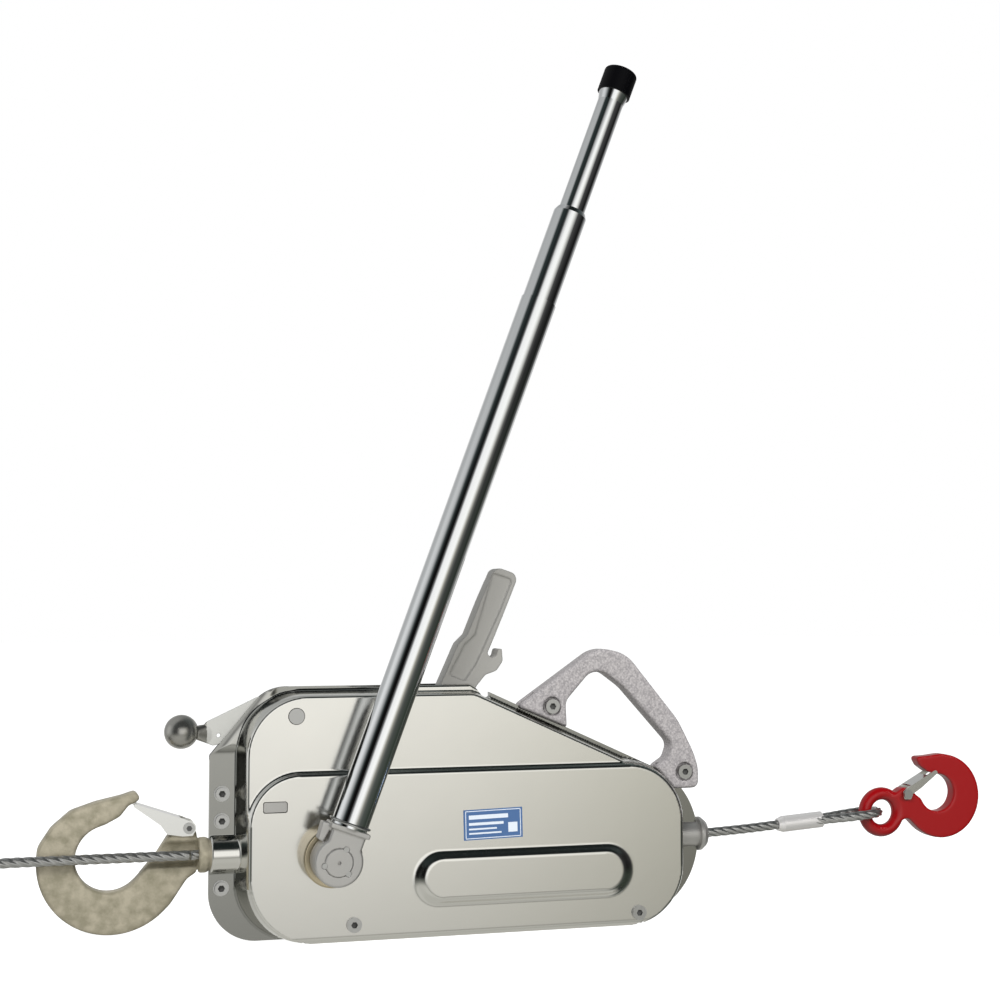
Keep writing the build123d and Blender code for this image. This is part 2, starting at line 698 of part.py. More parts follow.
# ---------------------------------------------------------------- carrying handle
CARRY_OUT = [
    (46, 186), (119, 236.5), (146, 230.5), (194, 172), (208.5, 144), (213, 130), (213, 112), (190, 112),
    (172.5, 131.5), (184, 139), (188, 151), (143, 201), (124, 215), (112, 214.5), (90, 190), (91, 167.4),
]
CARRY_R = [3, 27, 32, 60, 60, 28, 6, 4, 2, 8, 9, 40, 15, 13, 11, 1]
CARRY_HALF = 10.0
LEFT_FORK = [
    (64, 150), (96, 150), (96, 178), (89, 186), (86, 197.5), (66, 197.5), (40, 193), (40, 186),
]
RIGHT_FORK = [(168, 105), (214, 105), (211, 133), (196, 138.5), (188, 133), (180, 133), (170, 136)]

with BuildPart() as carrying_handle:
    extrude(face(front(-CARRY_HALF), CARRY_OUT, CARRY_R), amount=2 * CARRY_HALF)
    for depth in (0, -1):
        fillet(carrying_handle.faces().sort_by(Axis.Y)[depth].outer_wire().edges(), 3.0)
    # the forks over the ears of the casing
    for fork in (LEFT_FORK, RIGHT_FORK):
        extrude(face(front(-SHEET), fork, 0), amount=2 * SHEET, mode=Mode.SUBTRACT)
    for ear in (EAR_LEFT, EAR_RIGHT):
        add(disc(*ear, -20, 3.6, 40), mode=Mode.SUBTRACT)
        add(disc(*ear, CARRY_HALF - 2.5, 8, 5), mode=Mode.SUBTRACT)
        add(disc(*ear, -CARRY_HALF - 2.5, 8, 5), mode=Mode.SUBTRACT)
save(carrying_handle, "carrying_handle")

with BuildPart() as carrying_bolts:
    for ear in (EAR_LEFT, EAR_RIGHT):
        add(disc(*ear, -13.5, 3.6, 21))
        add(disc(*ear, CARRY_HALF - 2.5, 6.2, 4.5))
        with BuildSketch(front(CARRY_HALF)):
            with Locations(ear):
                RegularPolygon(3.0, 6)
        extrude(amount=5, mode=Mode.SUBTRACT)
save(carrying_bolts, "carrying_handle_bolts")

with BuildPart() as carrying_nuts:
    for ear in (EAR_LEFT, EAR_RIGHT):
        with BuildSketch(front(-CARRY_HALF - 2.5)):
            with Locations(ear):
                RegularPolygon(6.6, 6)
                Circle(3.6, mode=Mode.SUBTRACT)
        extrude(amount=5)
save(carrying_nuts, "carrying_handle_nuts")

with BuildPart() as label:
    with BuildSketch(front(LOWER_DEPTH)):
        with Locations(Location((18, 91, 0), (0, 0, 1.5))):
            Rectangle(51, 25)
    extrude(amount=0.4)
save(label, "label_plate")

# ---------------------------------------------------------------- anchor hook
BOWL_NEAR = -7.0  # the bowl stands behind the rope
BOWL_FAR = -23.0
BOWL_MID = (-290.0, 67.5)
BOWL_R = 59.0
THROAT_MID = (-292.0, 69.5)
THROAT_R = 26.8
LATCH_PIVOT = (-229.1, 91.9)
GROOVE_END = -274.0
COLLAR_LEFT = -222.4
NECK_END = -176.0


def around(middle, radius, first, last, count):
    """Corners of a polygon around a circle, from the first angle to the last: rounded, they make its arc."""
    step = math.radians(last - first) / (count - 1)
    reach = radius / math.cos(step / 2)
    places = []
    for i in range(count):
        angle = math.radians(first) + step * i
        places.append((middle[0] + reach * math.cos(angle), middle[1] + reach * math.sin(angle)))
    return places


def arc_radii(radius, end, count):
    """The roundings of such a polygon's corners, with smaller ones at its two ends."""
    return [end] + [0.96 * radius] * (count - 2) + [end]


def hook_plate():
    """The flat forged bowl of the anchor hook, with rounded edges."""
    corners = [(-283, 119.5), (-303.5, 115), (-323, 108.5), (-338, 95.5)]
    corners += around(BOWL_MID, BOWL_R, 168, 322, 12)
    corners += [(-230, 50.6), (COLLAR_LEFT, 55.5), (COLLAR_LEFT, 88)]
    corners += [(-229.1, 97.5), (-236.5, 91.5), (-245.3, 86.4), (-255, 71.2), (-266, 58.5)]
    corners += around(THROAT_MID, THROAT_R, -38, -262, 12)
    corners += [(-284, 102.5), (-277, 111.5), (-271.5, 113.5), (-267.5, 117), (-272.3, 123)]
    radii = [12] * 3 + [10] + arc_radii(BOWL_R, 14, 12) + [8, 0, 4, 5, 3, 8] + [15, 10]
    radii += arc_radii(THROAT_R, 6, 12) + [10, 3, 2, 2.5, 2.5]
    with BuildPart() as plate:
        extrude(face(front(BOWL_FAR), corners, radii), amount=BOWL_NEAR - BOWL_FAR)
        edges = plate.faces().sort_by(Axis.Y)[0].edges() + plate.faces().sort_by(Axis.Y)[-1].edges()
        chamfer(edges, 1.2)
    return plate.part


with BuildPart() as anchor_hook:
    add(hook_plate())
    add(rod_x(COLLAR_LEFT, 14.5, -215 - COLLAR_LEFT))
    add(rod_x(-216, NECK_R, NECK_END + 216))
    # the groove that the rope lies in, open to the front
    add(rod_x(GROOVE_END, 12.5, COLLAR_LEFT - GROOVE_END), mode=Mode.SUBTRACT)
    add(rod_x(-240, 5.5, 80), mode=Mode.SUBTRACT)
    add(disc(*LATCH_PIVOT, -40, 3.2, 60), mode=Mode.SUBTRACT)
save(anchor_hook, "anchor_hook")

with BuildPart() as hook_ring:
    with BuildSketch(along_x(-184)):
        Circle(16.6)
        Circle(NECK_R, mode=Mode.SUBTRACT)
    extrude(amount=8)
save(hook_ring, "anchor_hook_ring")

LATCH_WALLS = [
    (-223.4, 91.9), (-229.1, 97.7), (-233, 99.5), (-272.5, 113.0), (-274, 111), (-252, 95),
    (-246.6, 87.5), (-234, 85.5), (-226, 85.8),
]

with BuildPart() as anchor_latch:
    for depth in (-6.5, -25.0):
        extrude(face(front(depth), LATCH_WALLS, 1.1), amount=1.5)
        add(disc(*LATCH_PIVOT, depth, 5.7, 1.5))
    extrude(face(front(-25), [(-236, 100.4), (-270.5, 112.2), (-270.0, 110.8), (-235.5, 99.0)], 0), amount=20)
    add(disc(*LATCH_PIVOT, -40, 3.26, 60), mode=Mode.SUBTRACT)
save(anchor_latch, "anchor_latch")

with BuildPart() as anchor_latch_pin:
    add(disc(*LATCH_PIVOT, -26.5, 3.2, 23))
    add(disc(*LATCH_PIVOT, -26.5, 4.6, 1.2))
    add(disc(*LATCH_PIVOT, -4.7, 4.6, 1.2))
save(anchor_latch_pin, "anchor_latch_pin")

# ---------------------------------------------------------------- load hook
LOAD_EYE = (397.1, 83.2)
LOAD_EYE_R = 16.8  # middle of the ring
LOAD_RING_R = 5.8
LOAD_BOWL = (457.5, 96.3)
LOAD_BOWL_R = 38.3
LOAD_THROAT = (452.3, 99.6)
LOAD_THROAT_R = 17.0
LOAD_HALF = 6.5
LOAD_LATCH_PIVOT = (420.3, 99.4)


def load_plate():
    """The forged bowl of the load hook, with rounded edges."""
    corners = [(408, 73), (421, 77.5)]
    corners += around(LOAD_BOWL, LOAD_BOWL_R, 215, 450, 13)
    corners += [(443, 133.5), (430, 133), (434.5, 124.5), (443, 118.5)]
    corners += around(LOAD_THROAT, LOAD_THROAT_R, 95, -165, 10)
    corners += [(429.5, 99), (426.5, 104), (417, 105.5), (406, 98)]
    radii = [2, 6] + arc_radii(LOAD_BOWL_R, 9, 13) + [10, 2.5, 2, 8]
    radii += arc_radii(LOAD_THROAT_R, 5, 10) + [3, 3, 5, 3]
    with BuildPart() as plate:
        extrude(face(front(-LOAD_HALF), corners, radii), amount=2 * LOAD_HALF)
    return plate.part


with BuildPart() as load_hook:
    add(load_plate())
    add(disc(*LOAD_EYE, -20, LOAD_EYE_R, 40), mode=Mode.SUBTRACT)
    with BuildSketch(Plane(origin=(LOAD_EYE[0], 0, LOAD_EYE[1]), x_dir=(1, 0, 0), z_dir=(0, 0, 1))):
        with Locations((LOAD_EYE_R, 0)):
            Circle(LOAD_RING_R)
    revolve(axis=Axis((LOAD_EYE[0], 0, LOAD_EYE[1]), (0, 1, 0)))
    add(disc(*LOAD_LATCH_PIVOT, -40, 2.6, 60), mode=Mode.SUBTRACT)
save(load_hook, "load_hook")

LOAD_WALLS = [
    (425.5, 99.4), (423.5, 94.5), (416.5, 95.0), (415.5, 102), (421, 105.5), (449, 120.5),
    (452.5, 118.5), (434, 104.5),
]

with BuildPart() as load_latch:
    for depth in (LOAD_HALF + 0.4, -LOAD_HALF - 1.8):
        extrude(face(front(depth), LOAD_WALLS, 1.4), amount=1.4)
    extrude(
        face(front(-LOAD_HALF - 1.8), [(424.5, 107.4), (441.0, 116.2), (441.6, 115.0), (425.1, 106.2)], 0),
        amount=2 * LOAD_HALF + 3.6,
    )
    add(disc(*LOAD_LATCH_PIVOT, -40, 2.66, 60), mode=Mode.SUBTRACT)
save(load_latch, "load_latch")

with BuildPart() as load_latch_pin:
    add(disc(*LOAD_LATCH_PIVOT, -LOAD_HALF - 3.4, 2.6, 2 * LOAD_HALF + 6.8))
    for depth in (LOAD_HALF + 2.1, -LOAD_HALF - 3.4):
        add(disc(*LOAD_LATCH_PIVOT, depth, 4.2, 1.3))
save(load_latch_pin, "load_latch_pin")

# ---------------------------------------------------------------- wire rope
TAIL_START = -228.0
STUB_START = 222.0
FERRULE_START = (292.6, 75.6)
FERRULE_END = (342.5, 79.3)
LOOP_X = 392.6
LOOP_Z = 84.0
LOOP_HALF = 10.3
COIL_PITCH = 2 * ROPE_R
COIL_ROWS = 6
COIL_COLUMNS = 4
COIL_FIRST_R = 46.0  # the turn that the tail runs into, tangent to it
COIL_MID = (-471.0, COIL_FIRST_R)
COIL_R = COIL_FIRST_R + COIL_PITCH * (COIL_COLUMNS - 1) / 2
COIL_TOP_Z = COIL_PITCH * (COIL_ROWS - 0.5)


def rope(points):
    """A rope of straight runs joined by tangent arcs, each as large as its runs allow."""
    route = [Vector(*p) for p in points]
    radii = []
    for before, at, after in zip(route, route[1:], route[2:]):
        half_turn = math.radians((at - before).get_angle(after - at)) / 2
        shorter = min((at - before).length, (after - at).length)
        radii.append(0.45 * shorter / math.tan(half_turn))
    with BuildPart() as tube:
        with BuildLine():
            middle = FilletPolyline(*route, radius=radii)
        with BuildSketch(Plane(origin=middle @ 0, z_dir=middle % 0)):
            Circle(ROPE_R)
        sweep()
    return tube.part


with BuildPart() as rope_in_casing:
    add(rod_x(TAIL_START, ROPE_R, STUB_START - TAIL_START))
save(rope_in_casing, "rope_in_casing")

with BuildPart() as rope_tail:
    add(rope([
        (TAIL_START, 0, ROPE_Z), (-390, 0, ROPE_Z), (-446, 0, COIL_TOP_Z), (COIL_MID[0], 0, COIL_TOP_Z),
    ]))
save(rope_tail, "rope_tail")

with BuildPart() as rope_coil:
    with BuildSketch(Plane(origin=(*COIL_MID, 0), x_dir=(1, 0, 0), z_dir=(0, -1, 0))):
        with Locations((COIL_R, COIL_PITCH * COIL_ROWS / 2)):
            RectangleRounded(COIL_PITCH * COIL_COLUMNS, COIL_PITCH * COIL_ROWS, 0.95 * ROPE_R)
    revolve(axis=Axis((*COIL_MID, 0), (0, 0, 1)))
save(rope_coil, "rope_coil")

with BuildPart() as rope_stub:
    add(rope([(STUB_START, 0, ROPE_Z), (258, 0, 72.6), (304, 0, 76.44)]))
save(rope_stub, "rope_stub")

FERRULE = Plane(
    origin=(FERRULE_START[0], 0, FERRULE_START[1]),
    x_dir=(0, 1, 0),
    z_dir=(FERRULE_END[0] - FERRULE_START[0], 0, FERRULE_END[1] - FERRULE_START[1]),
)

with BuildPart() as ferrule:
    with BuildSketch(FERRULE):
        Circle(5.4)
    with BuildSketch(FERRULE.offset(5)):
        Circle(7.2)
    loft(ruled=True)
    with BuildSketch(FERRULE.offset(5)):
        Circle(7.2)
    extrude(amount=38.5)
    with BuildSketch(FERRULE.offset(-5)):
        Circle(ROPE_R)
    extrude(amount=16.5, mode=Mode.SUBTRACT)
save(ferrule, "rope_ferrule")

with BuildPart() as eye_loop:
    with BuildLine():
        loop_wire = FilletPolyline(
            (335.8, -4.3, 78.8), (366, -LOOP_HALF, 81.4), (LOOP_X, -LOOP_HALF, LOOP_Z),
            (LOOP_X, LOOP_HALF, LOOP_Z), (366, LOOP_HALF, 81.4), (335.8, 4.3, 78.8),
            radius=[30, 10.1, 10.1, 30],
        )
    with BuildSketch(Plane(origin=loop_wire @ 0, z_dir=loop_wire % 0)):
        Circle(ROPE_R)
    sweep()
save(eye_loop, "rope_eye_loop")
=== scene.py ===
"""The looks of a come along winch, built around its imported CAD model. Metres, +Z up, -Y towards the operator."""

import json
import math

import bmesh
import bpy
import numpy as np
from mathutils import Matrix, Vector


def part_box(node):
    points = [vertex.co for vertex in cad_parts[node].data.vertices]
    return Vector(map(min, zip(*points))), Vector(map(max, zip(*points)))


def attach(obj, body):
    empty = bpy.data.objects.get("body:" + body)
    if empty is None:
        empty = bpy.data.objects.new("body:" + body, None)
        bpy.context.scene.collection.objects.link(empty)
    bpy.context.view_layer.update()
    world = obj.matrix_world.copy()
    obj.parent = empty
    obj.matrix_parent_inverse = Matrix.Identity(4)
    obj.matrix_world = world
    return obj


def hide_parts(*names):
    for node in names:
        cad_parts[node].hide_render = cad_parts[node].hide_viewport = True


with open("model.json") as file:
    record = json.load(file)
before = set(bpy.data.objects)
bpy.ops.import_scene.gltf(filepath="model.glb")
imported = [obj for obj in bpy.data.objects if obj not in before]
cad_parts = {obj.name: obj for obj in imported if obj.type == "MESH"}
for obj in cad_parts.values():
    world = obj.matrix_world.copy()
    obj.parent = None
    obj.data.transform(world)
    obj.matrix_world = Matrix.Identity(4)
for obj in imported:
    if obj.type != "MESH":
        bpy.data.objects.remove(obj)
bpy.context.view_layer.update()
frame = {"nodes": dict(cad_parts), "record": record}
MM = 0.001
ROPE_D = 0.0083
ROPE_Z = 0.071


# ---------------------------------------------------------------- materials
def material(
    name, colour, metallic=0.0, roughness=0.5, grain=0.0, grain_size=400.0, spread=0.0, coat=0.0, stain=None,
    stain_size=60.0,
):
    """A principled material. grain is a bump height in mm, spread varies the roughness, stain is a second colour.

    grain_size and stain_size are noise scales: the larger, the finer.
    """
    made = bpy.data.materials.new(name)
    made.use_nodes = True
    nodes = made.node_tree.nodes
    links = made.node_tree.links
    shader = nodes["Principled BSDF"]
    shader.inputs["Base Color"].default_value = (*colour, 1)
    shader.inputs["Metallic"].default_value = metallic
    shader.inputs["Roughness"].default_value = roughness
    shader.inputs["Coat Weight"].default_value = coat
    shader.inputs["Coat Roughness"].default_value = 0.08
    place = nodes.new("ShaderNodeTexCoord")
    if grain:
        noise = nodes.new("ShaderNodeTexNoise")
        noise.inputs["Scale"].default_value = grain_size
        noise.inputs["Detail"].default_value = 4
        bump = nodes.new("ShaderNodeBump")
        bump.inputs["Strength"].default_value = 1.0
        bump.inputs["Distance"].default_value = grain * MM
        links.new(place.outputs["Object"], noise.inputs["Vector"])
        links.new(noise.outputs["Fac"], bump.inputs["Height"])
        links.new(bump.outputs["Normal"], shader.inputs["Normal"])
    if spread:
        cloud = nodes.new("ShaderNodeTexNoise")
        cloud.inputs["Scale"].default_value = 22
        cloud.inputs["Detail"].default_value = 3
        ramp = nodes.new("ShaderNodeMapRange")
        ramp.inputs["To Min"].default_value = roughness - spread
        ramp.inputs["To Max"].default_value = roughness + spread
        links.new(place.outputs["Object"], cloud.inputs["Vector"])
        links.new(cloud.outputs["Fac"], ramp.inputs["Value"])
        links.new(ramp.outputs["Result"], shader.inputs["Roughness"])
    if stain:
        blotch = nodes.new("ShaderNodeTexNoise")
        blotch.inputs["Scale"].default_value = stain_size
        blotch.inputs["Detail"].default_value = 5
        mix = nodes.new("ShaderNodeValToRGB")
        mix.color_ramp.elements[0].position = 0.35
        mix.color_ramp.elements[0].color = (*stain, 1)
        mix.color_ramp.elements[1].position = 0.65
        mix.color_ramp.elements[1].color = (*colour, 1)
        links.new(place.outputs["Object"], blotch.inputs["Vector"])
        links.new(blotch.outputs["Fac"], mix.inputs["Fac"])
        links.new(mix.outputs["Color"], shader.inputs["Base Color"])
    return made


# the second colour is painted shade on the flange, in place of the darker reflection that it shows
ZINC_COLOUR, FLANGE_SHADE_COLOUR = (0.83, 0.82, 0.78), (0.34, 0.34, 0.32)
FLANGE_SHADE_NEAR, FLANGE_SHADE_FAR = 0.0032, 0.0062  # the flange's painted shade ends between these distances from the parting plane

ZINC = material("pressed_zinc", ZINC_COLOUR, 1.0, 0.15, grain=0.02, grain_size=60, spread=0.04)
TUBE = material("tube_zinc", (0.88, 0.89, 0.90), 1.0, 0.07, grain=0.003, grain_size=900)
SATIN = material("satin_steel", (0.60, 0.59, 0.57), 0.8, 0.42, grain=0.08, grain_size=700, spread=0.08)
FASTENER = material("fastener_zinc", (0.62, 0.62, 0.61), 1.0, 0.34, grain=0.05, grain_size=500)
BRONZE = material("bronze", (0.62, 0.54, 0.38), 1.0, 0.26, grain=0.01, grain_size=600)
DARK_STEEL = material("dark_steel", (0.30, 0.30, 0.29), 1.0, 0.42, grain=0.02)
CAST = material(
    "cast_alloy", (0.60, 0.57, 0.57), 0.3, 0.6, grain=0.35, grain_size=700, stain=(0.36, 0.34, 0.35), stain_size=650.0
)
LEVER_CAST = material("lever_cast", (0.50, 0.49, 0.465), 0.5, 0.5, grain=0.12, grain_size=600, spread=0.06)
FORGED = material(
    "forged_hook", (0.55, 0.50, 0.385), 0.5, 0.44, grain=0.4, grain_size=260, stain=(0.36, 0.33, 0.24), stain_size=110.0
)
LATCH = material("latch_zinc", (0.86, 0.86, 0.84), 1.0, 0.2, grain=0.01)
PLATE = material("release_zinc", (0.68, 0.68, 0.65), 0.5, 0.45, grain=0.02)
RED = material("red_paint", (0.27, 0.002, 0.004), 0.0, 0.3, grain=0.10, grain_size=120, coat=0.15)
RUBBER = material("black_rubber", (0.0015, 0.0015, 0.002), 0.0, 0.5, grain=0.02)
WIRE = material("rope_wire", (0.56, 0.56, 0.55), 0.95, 0.28, grain=0.2, grain_size=1400)
ALLOY = material("ferrule_alloy", (0.88, 0.86, 0.85), 0.6, 0.36, grain=0.02)
BALL = material("ball_steel", (0.47, 0.46, 0.43), 0.95, 0.27, grain=0.03, grain_size=160)
BLUE = material("label_blue", (0.065, 0.14, 0.31), 0.0, 0.35)
WHITE_INK = material("label_white", (0.72, 0.78, 0.86), 0.0, 0.4)
# a dark colour for painted shade in the hollows of sockets and bores
SOCKET_SHADE = material("painted_socket_shade", (0.08, 0.08, 0.078), 0.0, 0.7)
RUBBER.node_tree.nodes["Principled BSDF"].inputs["Specular IOR Level"].default_value = 0.12


def paint_flange_shade():
    """Paints shade, for a darker reflection, on each casing half's flange, which lies near the parting plane."""
    nodes = ZINC.node_tree.nodes
    links = ZINC.node_tree.links
    place = nodes.new("ShaderNodeTexCoord")
    split = nodes.new("ShaderNodeSeparateXYZ")
    away = nodes.new("ShaderNodeMath")
    away.operation = "ABSOLUTE"
    near = nodes.new("ShaderNodeMapRange")
    near.inputs["From Min"].default_value = FLANGE_SHADE_NEAR
    near.inputs["From Max"].default_value = FLANGE_SHADE_FAR
    mix = nodes.new("ShaderNodeMix")
    mix.data_type = "RGBA"
    mix.inputs["A"].default_value = (*FLANGE_SHADE_COLOUR, 1)
    mix.inputs["B"].default_value = (*ZINC_COLOUR, 1)
    links.new(place.outputs["Object"], split.inputs[0])
    links.new(split.outputs["Y"], away.inputs[0])
    links.new(away.outputs[0], near.inputs["Value"])
    links.new(near.outputs["Result"], mix.inputs["Factor"])
    links.new(mix.outputs["Result"], nodes["Principled BSDF"].inputs["Base Color"])


paint_flange_shade()

FINISHES = {
    "casing_zinc": ZINC, "handle_zinc": TUBE, "fastener_steel": FASTENER, "hub_brass": BRONZE, "lever_steel": SATIN,
    "grip_rubber": RUBBER, "carry_alloy": CAST, "cast_lever": LEVER_CAST, "hook_steel": FORGED, "latch_zinc": LATCH,
    "hook_red": RED, "rope_steel": WIRE, "rope_bundle": WIRE, "ferrule_alloy": ALLOY, "inner_steel": DARK_STEEL,
    "ball_steel": BALL, "label_blue": BLUE,
}


def paint(piece, finish):
    piece.data.materials.clear()
    piece.data.materials.append(finish)


def smooth_by_angle(piece, degrees=35):
    """Shades smooth where faces meet at less than this angle, and sharp elsewhere."""
    work = bmesh.new()
    work.from_mesh(piece.data)
    for edge in work.edges:
        edge.smooth = not edge.is_manifold or edge.calc_face_angle(0) < math.radians(degrees)
    for polygon in work.faces:
        polygon.smooth = True
    work.to_mesh(piece.data)
    work.free()


slot_of = {part["node"]: part["material_slot"] for part in frame["record"]["subparts"]}
body_of = {name: body for body, names in frame["record"]["behaviour"]["bodies"].items() for name in names}
for name, node in frame["nodes"].items():
    paint(node, FINISHES[slot_of[name]])
paint(frame["nodes"]["shell_tie_bar"], SATIN)


# ---------------------------------------------------------------- pieces that stand for CAD nodes
def stand_in(piece, *nodes):
    """The piece rides where the first node rides, takes its finish, and is shown in place of the nodes."""
    if not piece.data.materials:
        paint(piece, FINISHES[slot_of[nodes[0]]])
    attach(piece, body_of[nodes[0]])
    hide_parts(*nodes)
    return piece


def mesh_piece(name, corners, faces):
    data = bpy.data.meshes.new(name)
    data.from_pydata(corners, [], faces)
    piece = bpy.data.objects.new(name, data)
    bpy.context.scene.collection.objects.link(piece)
    return piece


def softened(node, grid, passes, name):
    """A forging or casting: the node's shape, remeshed on a grid (m) and smoothed over until its edges are round."""
    source = frame["nodes"][node]
    piece = bpy.data.objects.new(name, source.data.copy())
    bpy.context.scene.collection.objects.link(piece)
    work = bmesh.new()
    work.from_mesh(piece.data)
    bmesh.ops.remove_doubles(work, verts=work.verts, dist=1e-6)
    work.to_mesh(piece.data)
    work.free()
    remesh = piece.modifiers.new("grid", "REMESH")
    remesh.mode = "VOXEL"
    remesh.voxel_size = grid * 1
    smoothing = piece.modifiers.new("smooth", "SMOOTH")
    smoothing.factor = 0.5
    smoothing.iterations = passes
    bpy.context.view_layer.update()
    shape = bpy.data.meshes.new_from_object(piece.evaluated_get(bpy.context.evaluated_depsgraph_get()))
    piece.modifiers.clear()
    piece.data = shape
    for polygon in shape.polygons:
        polygon.use_smooth = True
    paint(piece, FINISHES[slot_of[node]])
    return stand_in(piece, node)


softened("anchor_hook", 0.0008, 36, "anchor_hook_forging")
softened("load_hook", 0.0007, 40, "load_hook_forging")
softened("carrying_handle", 0.0008, 4, "carrying_handle_casting")
softened("reverse_lever", 0.0008, 3, "reverse_lever_casting")
softened("forward_lever", 0.0006, 3, "forward_lever_forging")

BALL_NECK_X = -0.2165  # left of here the release lever has the ball's finish
release_plate = softened("release_lever", 0.0005, 2, "release_lever_plate")
paint(release_plate, PLATE)
release_plate.data.materials.append(BALL)
for face in release_plate.data.polygons:
    face.material_index = 1 if face.center.x < BALL_NECK_X else 0

for name, node in frame["nodes"].items():
    if not node.hide_render:
        smooth_by_angle(node)


# ---------------------------------------------------------------- pressed casing halves
# All in mm. A depth is measured from the parting plane to the skin's face. Outlines are corners (x, z, radius).
GRID_X, TALL = 217.0, 206.0  # how far the grid of the skin reaches to either side, and up
SHEET, FOOT_D, UPPER_D, LOWER_D, STADIUM_D = 2.5, 18.0, 27.0, 31.0, 36.0
FLANGE = [(-214, 0, 40), (214, 0, 66.5), (214, 112.3, 66.5), (6.5, 206, 25), (-168, 206, 35), (-214, 151, 3)]
BASE = [(-195, 0, 50), (201, 0, 58), (201, 114.9, 58), (4.9, 203.5, 22), (-195, 203.5, 52)]
UPPER = [(-185, 0, 52), (189, 0, 50), (189, 114.2, 50), (3.4, 198, 20), (-185, 198, 48)]
LOWER_FOOT = [(-187.4, 0, 54), (191.4, 0, 50), (191.4, 139, 52), (-187.4, 139, 44)]
LOWER = [(-183.5, 0, 54), (187.5, 0, 50), (187.5, 134.5, 48), (-183.5, 134.5, 40)]
EARS = [(77.0, 186.0), (199.2, 126.7)]
EAR_R, EAR_HOLE_R = 9.5, 3.6
ROUND_HOLES = [(-147, 183, 6.9), (-120, 71, 16.9)]
TIES = [[(66, 182), (88, 182), (88, 165), (66, 172)], [(188, 128), (203, 119), (196, 108), (180, 118)]]
JOGGLE = [(-214, 152), (-186, 152), (-158, 186), (-158, 208), (-170, 208)]
COLLAR = [(-65, 190), (20, 190), (13, 202.5), (4, 208), (-65, 208)]
JOGGLE_RISE, COLLAR_RISE = 1.9, 10.5
BOSS_R, BOSS_Z, BOSS_FROM, BOSS_TO = 15.0, 71, -213, -183
STADIUM = (45.9, 48.0)
STADIUM_FOOT, STADIUM_TOP = (193.4, 45.6), (171, 31)
LOWER_BEND = 5.0  # the radius that the skin turns under with at its lower edge
GRID = 1.0


def rounded(corners):
    """Points along an outline whose corners (x, z, radius) are rounded."""
    points = []
    for i, (x, z, radius) in enumerate(corners):
        here = np.array((x, z), float)
        before = np.array(corners[i - 1][:2], float) - here
        after = np.array(corners[(i + 1) % len(corners)][:2], float) - here
        before /= np.linalg.norm(before)
        after /= np.linalg.norm(after)
        half = math.acos(np.clip(before @ after, -1, 1)) / 2
        reach = radius / math.tan(half)
        middle = here + (before + after) / np.linalg.norm(before + after) * radius / math.sin(half)
        start = here + before * reach - middle
        turn = math.pi - 2 * half
        for k in range(19):
            angle = turn * k / 18
            c, s = math.cos(angle), math.sin(angle)
            points.append(middle + np.array((c * start[0] - s * start[1], s * start[0] + c * start[1])))
    return np.array(points)


def distance(outline, x, z):
    """Signed distance of places (x, z) to a closed outline, negative inside."""
    flat_x, flat_z = x.ravel(), z.ravel()
    nearest = np.full(flat_x.shape, 1e9)
    inside = np.zeros(flat_x.shape, bool)
    for a, b in zip(outline, np.roll(outline, -1, axis=0)):
        edge = b - a
        share = np.clip(((flat_x - a[0]) * edge[0] + (flat_z - a[1]) * edge[1]) / max(edge @ edge, 1e-12), 0, 1)
        nearest = np.minimum(nearest, np.hypot(flat_x - a[0] - share * edge[0], flat_z - a[1] - share * edge[1]))
        crossing = (a[1] > flat_z) != (b[1] > flat_z)
        if abs(edge[1]) > 1e-12:
            inside ^= crossing & (flat_x < a[0] + (flat_z - a[1]) * edge[0] / edge[1])
    return np.where(inside, -nearest, nearest).reshape(x.shape)


def stadium(x, z, length, height):
    """Signed distance to the emboss's outline, negative inside."""
    beyond = np.maximum(np.abs(x - STADIUM[0]) - (length - height) / 2, 0)
    return np.hypot(beyond, z - STADIUM[1]) - height / 2


def s_curve(t):
    t = np.clip(t, 0, 1)
    return t * t * (3 - 2 * t)


def share_in(outer, inner):
    """0 outside the outer outline, 1 inside the inner one, evenly in between."""
    return np.maximum(-outer, 0) / (np.maximum(-outer, 0) + np.maximum(inner, 0) + 1e-6)


def rise(outer, inner):
    """0 outside the outer outline, 1 inside the inner one, and a pressed slope between them."""
    return s_curve(share_in(outer, inner))


def soft_max(a, b, blend):
    """The larger of two heights, with a bend of about that size where they cross."""
    share = np.clip(0.5 + 0.5 * (a - b) / blend, 0, 1)
    return b * (1 - share) + a * share + blend * share * (1 - share)


OUTLINES = {
    key: rounded(corners)
    for key, corners in (("base", BASE), ("upper", UPPER), ("foot", LOWER_FOOT), ("lower", LOWER), ("flange", FLANGE))
}


def edge_distance(x, z):
    """Signed distance to the edge of the casing's sheet, with its ears."""
    found = distance(OUTLINES["flange"], x, z)
    for ear in EARS:
        found = np.minimum(found, np.hypot(x - ear[0], z - ear[1]) - EAR_R)
    for tie in TIES:
        found = np.minimum(found, distance(np.array(tie, float), x, z))
    return found


